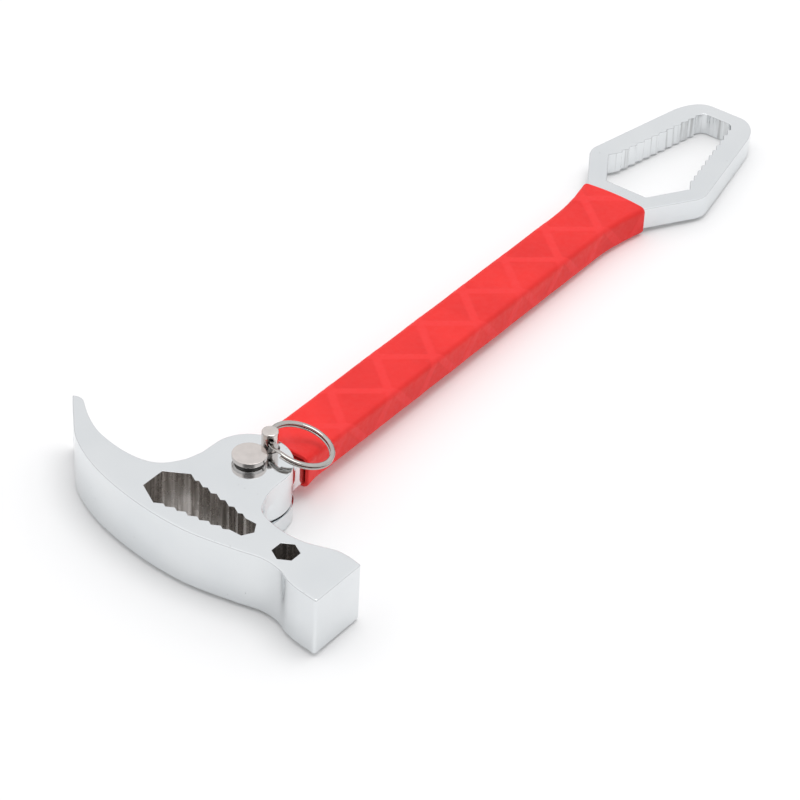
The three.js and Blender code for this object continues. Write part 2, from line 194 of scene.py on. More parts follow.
PAST = 1  # how far a cutter goes beyond the face it opens

# ---- studio light -----------------------------------------------------------
SKY = ((0.0, 0.2), (0.12, 0.35), (0.3, 0.93), (0.6, 0.91), (0.8, 1.05), (1.0, 1.1))  # by height
DARK_TOWARD = (0.458, -0.655, 0.602)  # a dark place, on the side that the camera is on
DARK_EDGE = (0.79, 0.95)  # cosines of the angles where it begins and is full
DARK_LEVEL = 0.22

# ---- camera -----------------------------------------------------------------
CAMERA_AZIMUTH = 34.97
CAMERA_ELEVATION = 36.99
CAMERA_ROLL = 2.91
CAMERA_DISTANCE = 1119
CAMERA_LENS = 153
CAMERA_AIM_RIGHT = 49.9  # from the pivot to the middle of the view
CAMERA_AIM_UP = 37.3


def add_camera():
    """Places the camera by its angles, its distance and its aim, and rolls it about its own axis."""
    azimuth, elevation = math.radians(CAMERA_AZIMUTH), math.radians(CAMERA_ELEVATION)
    back = Vector((
        math.sin(azimuth) * math.cos(elevation),
        -math.cos(azimuth) * math.cos(elevation),
        math.sin(elevation),
    ))
    right = Vector((0, 0, 1)).cross(back).normalized()
    up = back.cross(right)
    turn = Matrix.Rotation(math.radians(CAMERA_ROLL), 3, back)
    right, up = turn @ right, turn @ up
    place = right * CAMERA_AIM_RIGHT + up * CAMERA_AIM_UP + back * CAMERA_DISTANCE
    data = bpy.data.cameras.new("camera")
    data.lens = CAMERA_LENS
    data.sensor_width = 36
    data.clip_start = 0.01
    camera = bpy.data.objects.new("camera", data)
    bpy.context.scene.collection.objects.link(camera)
    axes = Matrix((right, up, back)).transposed().to_4x4()
    camera.matrix_world = Matrix.Translation(place * MM) @ axes
    bpy.context.scene.camera = camera


# ---- outlines ---------------------------------------------------------------
def spline(points, per=8):
    """Catmull-Rom curve through the points, without its first point."""
    out = []
    last = len(points) - 1
    for i in range(last):
        p0, p1, p2, p3 = (points[k] for k in (max(i - 1, 0), i, i + 1, min(i + 2, last)))
        for step in range(1, per + 1):
            t = step / per
            out.append(tuple(
                b + 0.5 * t * (c - a + t * (2 * a - 5 * b + 4 * c - d + t * (3 * (b - c) + d - a)))
                for a, b, c, d in zip(p0, p1, p2, p3)
            ))
    return out


def bezier(points, per=10):
    """Bezier curve of any degree, without its first point."""
    out = []
    for step in range(1, per + 1):
        t, level = step / per, list(points)
        while len(level) > 1:
            level = [tuple(a + t * (b - a) for a, b in zip(p, q)) for p, q in zip(level, level[1:])]
        out.append(level[0])
    return out


def arc(radius, start, end, steps, x=0, y=0):
    """Points on an arc, from start to end in degrees, with both ends."""
    angles = [math.radians(start + (end - start) * i / steps) for i in range(steps + 1)]
    return [(x + radius * math.cos(a), y + radius * math.sin(a)) for a in angles]


def mirrored(points):
    """The points on the other side of the Y axis, in reverse order."""
    return [(-x, y) for x, y in reversed(points)]


def head_outline():
    """Anticlockwise outline of the head. It is built the other way, from the face to the claw and back."""
    near, far = FACE_Y
    outline = arc(FACE_EDGE, 0, -90, 4, FACE_X - FACE_EDGE, near + FACE_EDGE)
    outline += spline([outline[-1], HEAD_FRONT[0]], 2)
    outline += spline(HEAD_FRONT)
    outline += bezier(CLAW_TIP, 6)
    outline += spline(CLAW_BACK)
    outline += arc(LUG_R, 180, 0, 64)
    outline += spline([(LUG_R, 0), *HEAD_BACK])
    outline += spline(HAMMER_BACK)
    outline += arc(FACE_EDGE, 90, 0, 4, FACE_X - FACE_EDGE, far - FACE_EDGE)
    return outline[::-1]


def hexagon(x, y, radius, first):
    """Anticlockwise hexagon with its first corner at the given angle."""
    return arc(radius, first, first + 300, 5, x, y)


def stepped_socket():
    """Clockwise outline of the joined hexagons: an upper and a lower side, from corners and crossings."""
    middles = [SOCKET_X + i * SOCKET_STEP for i in range(len(SOCKET_RADII))]
    centres = [SOCKET_Y - SOCKET_DROP * i for i in range(len(SOCKET_RADII))]
    slope = 1 / math.sqrt(3)

    def side(sign):
        first = SOCKET_RADII[0]
        points = [(middles[0] - first * math.sqrt(3) / 2, centres[0] + sign * first / 2)]
        for i, radius in enumerate(SOCKET_RADII):
            points.append((middles[i], centres[i] + sign * radius))
            if i + 1 < len(SOCKET_RADII):
                fall = sign * (centres[i] - centres[i + 1]) + radius - SOCKET_RADII[i + 1]
                x = (middles[i] + middles[i + 1]) / 2 + fall / (2 * slope)
                x = min(x, middles[i] + radius * math.sqrt(3) / 2)
                points.append((x, centres[i] + sign * (radius - slope * (x - middles[i]))))
        return points

    last_x, last_y = SOCKET_LAST_X, SOCKET_LAST_Y
    half, flat = SOCKET_LAST_R / 2, SOCKET_LAST_R * math.sqrt(3) / 2
    radius, x0, y0 = SOCKET_RADII[-1], middles[-1], centres[-1]

    def join(sign):
        """Where the last pointed hexagon's flat side meets the one before it."""
        level = last_y + sign * flat
        x = x0 + (radius - sign * (level - y0)) / slope
        return [(x, level), (last_x + half, level)]

    upper = side(1) + join(1)
    lower = side(-1) + join(-1)
    return upper + [(last_x + SOCKET_LAST_R, last_y)] + lower[::-1]


def bar_half(y):
    """Half the bar's width at y. It flares toward the ring wrench."""
    t = min(max(0, (y - FLARE_START_Y) / (FLARE_END_Y - FLARE_START_Y)), 1)
    return BAR_HALF + BAR_FLARE * t * t


def handle_outline():
    """Anticlockwise: the round tongue, then the right side up to the far end, and its mirror image."""
    neck = BAR_HALF + NECK_SPREAD
    join = math.degrees(math.asin(neck / TONGUE_R))
    start = (neck, math.sqrt(TONGUE_R ** 2 - neck ** 2))
    right = [start] + bezier([start, (BAR_HALF, NECK_CURVE_Y), (BAR_HALF, NECK_END_Y)])
    step = (FLARE_END_Y - FLARE_START_Y) / 10
    right += [(bar_half(FLARE_START_Y + step * i), FLARE_START_Y + step * i) for i in range(11)]
    for corner in (RING_END_WIDEST, RING_END_CORNER):
        right += [corner[0]] + bezier(corner, 12)
    tongue = arc(TONGUE_R, 90 + join, 450 - join, 80)
    return tongue[1:-1] + right + mirrored(right)


def jaw_outline():
    """The toothed opening, clockwise. Its teeth have narrow bevels, and its far corners are rounded."""
    corner_x, corner_y = JAW_NEAR_CORNER
    side = [
        (JAW_NEAR - corner_x, JAW_NEAR_Y), (JAW_NEAR, JAW_NEAR_Y + corner_y), (JAW_WIDE, JAW_WIDE_Y),
    ]
    bevels = {}
    for i in range(JAW_TEETH):
        x, y = (root + i * pitch for root, pitch in zip(JAW_ROOT, JAW_PITCH))
        bevels[len(side)] = JAW_TOOTH_BEVEL
        side += [(x + JAW_TOOTH_BACK[0], y + JAW_TOOTH_BACK[1]), (x, y)]
    bevels[len(side)] = JAW_FAR_ROUND
    side += [(JAW_FAR, JAW_FAR_Y), (0, JAW_FAR_Y)]
    side = rounded(side, bevels, 3)
    return (side[:-1] + mirrored(side[:-1]))[::-1]


# ---- mesh building ----------------------------------------------------------
def new_object(name, vertices, faces, materials=(), face_materials=None):
    """A new object in the scene, from vertices in millimetres."""
    mesh = bpy.data.meshes.new(name)
    mesh.from_pydata([Vector(v) * MM for v in vertices], [], faces)
    for material in materials:
        mesh.materials.append(material)
    if face_materials:
        mesh.polygons.foreach_set("material_index", face_materials)
    obj = bpy.data.objects.new(name, mesh)
    bpy.context.scene.collection.objects.link(obj)
    return obj


def inward_miters(loop):
    """For each corner of a loop with its material on the left, the offset that moves both edges by one."""
    sharpest = 0.35  # keeps the offset short at a very sharp corner
    miters = []
    for i, point in enumerate(loop):
        before, after = Vector(loop[i - 1]), Vector(loop[(i + 1) % len(loop)])
        one = (Vector(point) - before).normalized()
        two = (after - Vector(point)).normalized()
        n1, n2 = Vector((-one.y, one.x)), Vector((-two.y, two.x))
        miters.append((n1 + n2) / max(sharpest, 1 + n1.dot(n2)))
    return miters


def plate(name, loops, low, high, materials, steps=4):
    """A flat plate with rounded edges.

    loops lists (points, edge radius, material index). The first is the outer one, anticlockwise, and
    the others are holes, clockwise.
    """
    vertices, faces, kinds, lids = [], [], [], ([], [])
    for points, edge, kind in loops:
        miters = inward_miters(points)
        turns = [math.radians(90 * i / steps) for i in range(steps + 1)]
        rise = [(edge * (1 - math.cos(a)), high - edge * (1 - math.sin(a))) for a in turns]
        fall = [(inset, low + high - z) for inset, z in reversed(rise)]
        n, base = len(points), len(vertices)
        for inset, z in fall + rise:
            vertices += [(x + m.x * inset, y + m.y * inset, z) for (x, y), m in zip(points, miters)]
        rings = len(fall) + len(rise)
        for r in range(rings - 1):
            for i in range(n):
                a, b = base + r * n + i, base + r * n + (i + 1) % n
                faces.append((a, b, b + n, a + n))
                kinds.append(kind if fall[-1][1] <= vertices[a][2] <= rise[0][1] else 0)
        lids[0].append(range(base, base + n))
        lids[1].append(range(base + (rings - 1) * n, base + rings * n))
    for lid, up in zip(lids, (False, True)):
        index = [i for ring in lid for i in ring]
        flat = [[Vector((vertices[i][0], vertices[i][1], 0)) for i in ring] for ring in lid]
        for triangle in tessellate_polygon(flat):
            a, b, c = (index[i] for i in triangle)
            (ax, ay, _), (bx, by, _), (cx, cy, _) = vertices[a], vertices[b], vertices[c]
            turns_left = (bx - ax) * (cy - ay) - (by - ay) * (cx - ax) > 0
            faces.append((a, b, c) if turns_left == up else (a, c, b))
            kinds.append(0)
    return new_object(name, vertices, faces, materials, kinds)


def prism(points, low, high):
    """A plain closed cutter with upright sides, from an anticlockwise outline."""
    hairline = 0.001
    return plate("cutter", [(points, hairline, 0)], low, high, [], steps=1)


def lathe(name, profile, materials=(), x=0, y=0, steps=96):
    """A solid of revolution about Z from (radius, z) pairs that start and end on the axis."""
    vertices = [(x, y, profile[0][1])]
    inner = profile[1:-1]
    for i in range(steps):
        a = 2 * math.pi * i / steps
        vertices += [(x + r * math.cos(a), y + r * math.sin(a), z) for r, z in inner]
    vertices.append((x, y, profile[-1][1]))
    n, last, faces = len(inner), len(vertices) - 1, []
    for i in range(steps):
        a, b = 1 + i * n, 1 + (i + 1) % steps * n
        faces.append((0, b, a))
        faces += [(a + k, b + k, b + k + 1, a + k + 1) for k in range(n - 1)]
        faces.append((a + n - 1, b + n - 1, last))
    return new_object(name, vertices, faces, materials)


def rounded(profile, corners, steps=4):
    """The profile with arcs in place of some corners: corners maps a point's index to its radius."""
    out = []
    for i, point in enumerate(profile):
        radius = corners.get(i)
        if not radius:
            out.append(point)
            continue
        here = Vector(point)
        back = (Vector(profile[i - 1]) - here).normalized() * radius
        ahead = (Vector(profile[i + 1]) - here).normalized() * radius
        out.append(tuple(here + back))
        out += bezier([tuple(here + back), point, tuple(here + ahead)], steps)
    return out


def washer(name, outer, inner, low, height, material):
    """A flat ring about Z with its outer edges cut."""
    edge = min(0.12, height / 3)
    ring = [(inner, low), (outer - edge, low), (outer, low + edge), (outer, low + height - edge),
            (outer - edge, low + height), (inner, low + height)]
    steps = 96
    vertices = []
    for i in range(steps):
        a = 2 * math.pi * i / steps
        vertices += [(r * math.cos(a), r * math.sin(a), z) for r, z in ring]
    n, faces = len(ring), []
    for i in range(steps):
        a, b = i * n, (i + 1) % steps * n
        faces += [(a + k, b + k, b + (k + 1) % n, a + (k + 1) % n) for k in range(n)]
    return new_object(name, vertices, faces, [material])


def swept(name, rings, materials, closed=False):
    """A surface over matching rings of points, with flat ends unless it closes on itself."""
    n, count = len(rings[0]), len(rings)
    vertices = [p for ring in rings for p in ring]
    faces = []
    for r in range(count if closed else count - 1):
        a, b = r * n, (r + 1) % count * n
        faces += [(a + i, b + i, b + (i + 1) % n, a + (i + 1) % n) for i in range(n)]
    if not closed:
        faces.append(tuple(range(n)))
        faces.append(tuple(range((count - 1) * n, count * n))[::-1])
    return new_object(name, vertices, faces, materials)


def cut(obj, cutters):
    """Takes the cutters out of obj."""
    for cutter in cutters:
        modifier = obj.modifiers.new("cut", "BOOLEAN")
        modifier.operation = "DIFFERENCE"
        modifier.solver = "EXACT"
        modifier.object = cutter
    bake_modifiers(obj)
    for cutter in cutters:
        bpy.data.objects.remove(cutter)


def bake_modifiers(obj):
    """Gives the object the mesh that its modifiers make."""
    bpy.context.view_layer.update()
    graph = bpy.context.evaluated_depsgraph_get()
    mesh = bpy.data.meshes.new_from_object(obj.evaluated_get(graph))
    obj.modifiers.clear()
    obj.data = mesh


def tidy_shading(obj, angle=38, weighted=True):
    """Faces out, smooth shading inside curved areas, and flat faces kept flat."""
    work = bmesh.new()
    work.from_mesh(obj.data)
    bmesh.ops.recalc_face_normals(work, faces=work.faces)
    work.to_mesh(obj.data)
    work.free()
    obj.data.shade_smooth()
    obj.data.set_sharp_from_angle(angle=math.radians(angle))
    if weighted:
        modifier = obj.modifiers.new("flat faces", "WEIGHTED_NORMAL")
        modifier.keep_sharp = True
        modifier.weight = 90
        bake_modifiers(obj)


def finish_piece(obj, body, slot, *nodes):
    """Hangs a piece that rides on one body on that body's empty, and hides the CAD parts it stands in for.
    """
    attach(obj, body)
    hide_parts(*nodes)


# ---- materials --------------------------------------------------------------
class Shader:
    """A small helper that adds nodes to one material and links them."""

    def __init__(self, name):
        self.material = bpy.data.materials.new(name)
        self.material.use_nodes = True
        self.tree = self.material.node_tree
        self.surface = self.tree.nodes["Principled BSDF"]
        self.place = self.add("ShaderNodeTexCoord").outputs["Object"]

    def add(self, kind, **values):
        """A new node, with its own properties or its inputs set by name."""
        node = self.tree.nodes.new(kind)
        for key, value in values.items():
            if hasattr(node, key):
                setattr(node, key, value)
            else:
                node.inputs[key].default_value = value
        return node

    def link(self, source, target):
        self.tree.links.new(source, target)

    def stretched(self, x, y, z):
        """The object's own coordinates, scaled along each axis."""
        node = self.add("ShaderNodeMapping")
        node.inputs["Scale"].default_value = (x, y, z)
        self.link(self.place, node.inputs["Vector"])
        return node.outputs["Vector"]

    def noise(self, scale, detail=3, vector=None, roughness=0.5):
        node = self.add("ShaderNodeTexNoise", Scale=scale, Detail=detail, Roughness=roughness)
        self.link(vector or self.place, node.inputs["Vector"])
        return node.outputs["Fac"]

    def ramp(self, source, *stops):
        """A colour from the source, by (position, colour) stops."""
        node = self.add("ShaderNodeValToRGB")
        elements = node.color_ramp.elements
        while len(elements) < len(stops):
            elements.new(0.5)
        for element, (position, color) in zip(elements, stops):
            element.position = position
            element.color = (*color, 1) if len(color) == 3 else color
        self.link(source, node.inputs["Fac"])
        return node.outputs["Color"]

    def span(self, source, low, high, start=0.3, end=0.7):
        """A value from low to high, as the source goes from start to end."""
        node = self.add("ShaderNodeMapRange")
        for key, value in zip(("From Min", "From Max", "To Min", "To Max"), (start, end, low, high)):
            node.inputs[key].default_value = value
        self.link(source, node.inputs["Value"])
        return node.outputs["Result"]

    def mix(self, factor, source, color):
        """The source, and as much of the other colour as the factor says."""
        node = self.add("ShaderNodeMix", data_type="RGBA")
        one, two = [s for s in node.inputs if s.type == "RGBA"]
        two.default_value = color
        self.link(factor, node.inputs["Factor"])
        self.link(source, one)
        return next(s for s in node.outputs if s.type == "RGBA")

    def bump(self, source, strength, distance, below=None):
        """Makes the source the surface's relief, over the relief given as below."""
        node = self.add("ShaderNodeBump", Strength=strength, Distance=distance)
        self.link(source, node.inputs["Height"])
        if below:
            self.link(below, node.inputs["Normal"])
        self.link(node.outputs["Normal"], self.surface.inputs["Normal"])
        return node.outputs["Normal"]


def chrome(name="satin_chrome", broached=False):
    """Bright plate over forged steel, with fine specks, or with upright tool marks if it is broached."""
    shader = Shader(name)
    shader.surface.inputs["Metallic"].default_value = 1
    cloud = shader.noise(40, 3)
    color = shader.ramp(cloud, (0.3, (0.745, 0.77, 0.785)), (0.7, (0.785, 0.805, 0.815)))
    shader.link(shader.span(shader.noise(420, 4), 0.06, 0.13), shader.surface.inputs["Roughness"])
    wave = shader.bump(shader.noise(90, 2), 0.04, 0.0003)
    if broached:
        marks = shader.noise(650, 3, shader.stretched(1, 1, 0.05))
        color = shader.mix(shader.span(marks, 0, 0.6, 0.5, 0.7), color, (0.35, 0.35, 0.35, 1))
        shader.bump(marks, 0.6, 0.0005, wave)
    else:
        specks = shader.add("ShaderNodeTexVoronoi", Scale=190)
        shader.link(shader.place, specks.inputs["Vector"])
        near_speck = shader.span(specks.outputs["Distance"], 0.7, 0, 0.02, 0.045)
        color = shader.mix(near_speck, color, (0.25, 0.25, 0.25, 1))
        shader.bump(shader.noise(2600, 3), 0.03, 0.00004, wave)
    shader.link(color, shader.surface.inputs["Base Color"])
    return shader.material


def raw_steel():
    """Unplated walls inside the sockets, with upright broaching marks."""
    shader = Shader("raw_socket_steel")
    shader.surface.inputs["Metallic"].default_value = 0.9
    streaks = shader.noise(900, 4, shader.stretched(1, 1, 0.05))
    color = shader.ramp(
        streaks, (0.32, (0.30, 0.28, 0.26)), (0.5, (0.47, 0.44, 0.415)), (0.68, (0.76, 0.725, 0.70)))
    shader.link(color, shader.surface.inputs["Base Color"])
    shader.link(shader.span(shader.noise(300, 3), 0.2, 0.34), shader.surface.inputs["Roughness"])
    shader.bump(streaks, 0.3, 0.0002)
    return shader.material


def nickel(name="nickel_plate", tint=(0.72, 0.67, 0.64), shine=(0.08, 0.16)):
    """Nickel plate, or another fine-grained metal by its tint and its range of roughness."""
    shader = Shader(name)
    surface = shader.surface
    surface.inputs["Metallic"].default_value = 1
    dark = tuple(c * 0.9 for c in tint)
    shader.link(shader.ramp(shader.noise(260, 4), (0.3, dark), (0.65, tint)), surface.inputs["Base Color"])
    shader.link(shader.span(shader.noise(900, 3), *shine), surface.inputs["Roughness"])
    shader.bump(shader.noise(1500, 3), 0.05, 0.0001)
    return shader.material


def bronze():
    return nickel("bronze_washer", (0.62, 0.43, 0.24), (0.3, 0.45))


def red_vinyl():
    """Shrunk plastic with a leathery grain, a little lighter on its raised bands."""
    shader = Shader("red_vinyl")
    surface = shader.surface
    surface.inputs["Specular IOR Level"].default_value = 0.35
    band = shader.add("ShaderNodeAttribute", attribute_name="band").outputs["Fac"]
    base = shader.ramp(shader.noise(45, 5), (0.3, (0.77, 0.014, 0.012)), (0.7, (0.89, 0.022, 0.018)))
    color = shader.mix(shader.span(band, 0, 0.85, 0, 1), base, (0.88, 0.028, 0.027, 1))
    shader.link(color, surface.inputs["Base Color"])
    shader.link(shader.span(shader.noise(500, 3), 0.42, 0.58), surface.inputs["Roughness"])
    leather = shader.bump(shader.noise(2200, 3), 0.12, 0.0001)
    shader.bump(shader.noise(160, 2), 0.1, 0.0006, leather)
    return shader.material


# ---- pieces -----------------------------------------------------------------
def chamfered_mouth(radius, top, chamfer):
    """The end of a round cutter's profile, where its hole opens through the face at top."""
    over = 0.05  # the chamfer goes on a little above the face
    wide = radius + chamfer + over
    return [(radius, top - chamfer), (wide, top + over), (wide, top + PAST), (0, top + PAST)]


def make_head(plated, raw):
    """The forging, its slot for the tongue, its nail notch, the pin's pocket and the rivet's bore."""
    key = hexagon(*KEY_HOLE, KEY_HOLE_FLATS / math.sqrt(3), 30)[::-1]
    head = plate(
        "head_forging",
        [(head_outline(), HEAD_EDGE, 0), (stepped_socket(), SOCKET_EDGE, 1), (key, SOCKET_EDGE, 1)],
        HEAD_LOW, HEAD_HIGH, [plated, raw])
    floor = math.degrees(math.asin(-SLOT_SHOULDER_Y / SLOT_FLOOR_R))
    beyond = 40  # clear of the lug
    slot = [(beyond, SLOT_SHOULDER_Y), (beyond, beyond), (-beyond, beyond), (-beyond, SLOT_SHOULDER_Y)]
    slot += arc(SLOT_FLOOR_R, 180 + floor, 360 - floor, 40)
    pocket = [(0, MID_Z), (POCKET_R, MID_Z), (POCKET_R, POCKET_ROOF_Z), (PIN_GUIDE_R, POCKET_ROOF_Z)]
    pocket += chamfered_mouth(PIN_GUIDE_R, HEAD_HIGH, PIN_GUIDE_CHAMFER)
    sink = RIVET_FOOT_R + RIVET_SINK_BESIDE
    bore = [
        (0, -PAST), (sink, -PAST), (sink, RIVET_SINK_LIP),
        (PIVOT_HOLE_R, RIVET_FOOT_H + RIVET_SINK_ABOVE),
        (PIVOT_HOLE_R, HEAD_HIGH + PAST), (0, HEAD_HIGH + PAST),
    ]
    cut(head, [
        prism(slot, BAR_LOW - SLOT_GAP, BAR_HIGH + SLOT_GAP),
        nail_notch(),
        lathe("cutter", pocket, x=PIN[0], y=PIN[1]),
        lathe("cutter", bore),
    ])
    tidy_shading(head)
    finish_piece(head, "head", "chrome_steel", "hammer_head")


def nail_notch():
    """A wedge through the claw, upright in the head's mid plane."""
    root = NOTCH_ROOT[1] / 2
    outline = [(NOTCH_TIP[0], NOTCH_TIP[1] / 2), (NOTCH_TIP[0], -NOTCH_TIP[1] / 2)]
    outline += arc(root, -90, 90, 12, NOTCH_ROOT[0], 0)
    claw_low, claw_high = -45, 0  # beyond the claw in Y, before the cutter is stood upright
    cutter = prism(outline, claw_low, claw_high)
    for vertex in cutter.data.vertices:
        x, z, y = vertex.co
        vertex.co = (x, y, z + MID_Z * MM)
    cutter.data.flip_normals()
    return cutter


def make_handle(plated, broached):
    """The bar with its ring wrench and tongue, its bore, and a lock hole for each fold angle."""
    handle = plate(
        "handle_forging", [(handle_outline(), HANDLE_EDGE, 0), (jaw_outline(), JAW_EDGE, 1)],
        BAR_LOW, BAR_HIGH, [plated, broached])
    reach, bearing = math.hypot(*PIN), math.degrees(math.atan2(PIN[1], PIN[0]))
    deep = BAR_HIGH - LOCK_HOLE_DEPTH
    hole = [(0, deep), (LOCK_HOLE_R, deep)] + chamfered_mouth(LOCK_HOLE_R, BAR_HIGH, LOCK_HOLE_CHAMFER)
    bore = [(0, HEAD_LOW), (PIVOT_HOLE_R, HEAD_LOW), (PIVOT_HOLE_R, HEAD_HIGH), (0, HEAD_HIGH)]
    cutters = [lathe("cutter", bore)]
    for fold in FOLD_ANGLES:
        angle = math.radians(bearing - fold)
        x, y = reach * math.cos(angle), reach * math.sin(angle)
        cutters.append(lathe("cutter", hole, x=x, y=y, steps=64))
    cut(handle, cutters)
    tidy_shading(handle)
    finish_piece(handle, "handle", "chrome_steel", "wrench_handle")


def sleeve_section(y, inset, count=92):
    """Points round the sleeve at one y: x, z, the direction each faces, and its share of the way round."""
    half = bar_half(y) + GRIP_SKIN - inset
    thick = BAR_THICK / 2 + GRIP_SKIN - inset
    edge = max(GRIP_LEAST_EDGE, GRIP_EDGE - inset)
    flat_x, flat_z, bend = 2 * (half - edge), 2 * (thick - edge), math.pi * edge / 2
    around = 2 * flat_x + 2 * flat_z + 4 * bend
    points = []
    for i in range(count):
        share = i / count
        past = share * around - flat_x / 2  # how far past the start of the bend, whose middle is (x, z)
        angle, x, z = 90, half - edge, thick - edge
        for flat in (flat_z, flat_x, flat_z, flat_x):
            if past <= bend:
                break
            past -= bend + flat
            angle -= 90
            x += flat * math.sin(math.radians(angle))
            z -= flat * math.cos(math.radians(angle))
        turn = math.radians(angle - 90 * max(past, 0) / bend)
        before = min(past, 0)
        points.append((
            x + edge * math.cos(turn) + before * math.sin(turn),
            z + edge * math.sin(turn) - before * math.cos(turn),
            turn, share,
        ))
    return points


def band_at(share, y):
    """How far a point is inside the raised lattice bands, from 0 to 1."""
    best = 0
    steepness = math.hypot(2 / GRIP_AROUND, 1 / EMBOSS_PERIOD)
    for sign in (1, -1):
        turn = 2 * (share + EMBOSS_TWIST) + sign * (y - EMBOSS_START_Y) / EMBOSS_PERIOD
        away = abs(turn - round(turn)) / steepness
        t = min(max((EMBOSS_HALF_WIDTH + EMBOSS_SOFT - away) / (2 * EMBOSS_SOFT), 0), 1)
        best = max(best, t * t * (3 - 2 * t))
    return best


def sleeve_ring(y, inset, embossed):
    """One ring of the sleeve's points, and how far each is inside the raised bands."""
    ring, bands = [], []
    for x, z, turn, share in sleeve_section(y, inset):
        band = band_at(share, y) if embossed else 0
        out = EMBOSS_HEIGHT * band
        if embossed:
            out += GRIP_RIPPLE * noise.noise(Vector((x, y, z)) * GRIP_RIPPLE_SCALE)
        along = min(max((y - GRIP_BULGE_Y) / (GRIP_END_Y - GRIP_BULGE_Y), 0), 1)
        bulge = GRIP_BULGE * along ** 3 * (1 - (x / (bar_half(y) + GRIP_SKIN)) ** 2)
        ring.append((x + out * math.cos(turn), y + bulge, MID_Z + z + out * math.sin(turn)))
        bands.append(band)
    return ring, bands


def make_sleeve(material):
    """A tube of rings: its thick near end, its outside, its far end and its bore."""
    def lip(y):
        return GRIP_LIP * max(0, 1 - (y - GRIP_START_Y) / GRIP_LIP_LENGTH)

    bore = GRIP_SKIN - GRIP_BORE
    near = [  # distance from the end, and inset from the outside
        (0.4, bore), (0, bore - 0.3), (0, 0.4 - GRIP_LIP), (0.12, 0.2 - GRIP_LIP), (0.4, 0.1 - GRIP_LIP),
    ]
    far = [(0.4, 0.03), (0.18, 0.12), (0.05, 0.3), (0, 0.62), (0.4, 0.95)]
    rows = 460
    span = GRIP_END_Y - GRIP_START_Y - 2 * GRIP_END_ROUND
    outside = [GRIP_START_Y + GRIP_END_ROUND + span * i / (rows - 1) for i in range(rows)]
    inside = (214, 210, 206, 202, 198, 194, 190, 180, 120, 60, 20)  # the bore's rings, closer at the flare
    rings = [sleeve_ring(GRIP_START_Y + y, inset, False) for y, inset in near]
    rings += [sleeve_ring(y, -lip(y), True) for y in outside]
    rings += [sleeve_ring(GRIP_END_Y - y, inset, False) for y, inset in far]
    rings += [sleeve_ring(y, bore, False) for y in inside]
    sleeve = swept("sleeve", [ring for ring, _ in rings], [material], closed=True)
    attribute = sleeve.data.attributes.new("band", "FLOAT", "POINT")
    attribute.data.foreach_set("value", [b for _, bands in rings for b in bands])
    tidy_shading(sleeve, 50, weighted=False)
    finish_piece(sleeve, "handle", "red_vinyl", "grip_sleeve")


def make_rivet(material):
    """Its head stands on a washer, and its foot is sunk in the head's underside."""
    edge = 0.1
    low = HEAD_HIGH + WASHER_H
    high = low + RIVET_HEAD_H
    profile = rounded([
        (0, 0), (RIVET_FOOT_R, 0), (PIVOT_R, RIVET_FOOT_H), (PIVOT_R, low),
        (RIVET_HEAD_R - RIVET_UNDERCUT, low), (RIVET_HEAD_R, low + RIVET_UNDERCUT),
        (RIVET_HEAD_R, high), (0, high),
    ], {4: edge, 5: edge, 6: RIVET_CHAMFER})
    rivet = lathe("rivet", profile, [material], steps=128)
    tidy_shading(rivet)
    finish_piece(rivet, "head", "nickel_steel", "pivot_rivet")


def make_washers(dark, soft):
    """One under the rivet's head, painted nearly black as painted shade in the gap under the head, and a
    thin one on each side of the tongue.
    """
    air = FRICTION_WASHER_AIR
    thin = SLOT_GAP - 2 * air
    rows = (
        ("rivet_head_washer", WASHER_R, HEAD_HIGH, WASHER_H, dark, "nickel_steel", "rivet_washer"),
        ("lower_friction_washer", FRICTION_WASHER_R, BAR_LOW - SLOT_GAP + air, thin, soft, "bronze",
         "friction_washer_lower"),
        ("upper_friction_washer", FRICTION_WASHER_R, BAR_HIGH + air, thin, soft, "bronze",
         "friction_washer_upper"),
    )
    for name, outer, low, height, material, slot, node in rows:
        ring = washer(name, outer, PIVOT_HOLE_R, low, height, material)
        tidy_shading(ring)
        finish_piece(ring, "head", slot, node)


def make_pin(material):
    """A flanged pin with a cross hole for the key ring."""
    edge = 0.15
    low, high = FLANGE_Z
    profile = rounded([
        (0, PIN_TIP_Z), (PIN_R, PIN_TIP_Z), (PIN_R, low), (FLANGE_R, low), (FLANGE_R, high),
        (PIN_R, high), (PIN_R, PIN_TOP_Z), (0, PIN_TOP_Z),
    ], {1: PIN_CHAMFER, 3: edge, 4: edge, 6: PIN_CHAMFER})
    pin = lathe("pull_pin", profile, [material], PIN[0], PIN[1], 128)
    reach = 2 * PIN_R
    bore = lathe("cutter", [(0, -reach), (RING_HOLE_R, -reach), (RING_HOLE_R, reach), (0, reach)], steps=64)
    across = Matrix.Rotation(math.radians(RING_AZIMUTH), 4, "Z") @ Matrix.Rotation(math.radians(90), 4, "X")
    bore.data.transform(Matrix.Translation(Vector((*PIN, RING_HOLE_Z)) * MM) @ across)
    cut(pin, [bore])
    tidy_shading(pin)
    finish_piece(pin, "lock_pin", "nickel_steel", "lock_pin")


def coil(name, radius, path, section, steps, material):
    """A wire of the given section along path, which maps 0 to 1 to the angle and height of its middle."""
    rings = []
    for i in range(steps + 1):
        angle, height = path(i / steps)
        rings.append([
            ((radius + out) * math.cos(angle), (radius + out) * math.sin(angle), height + up)
            for out, up in section
        ])
    return swept(name, rings, [material])


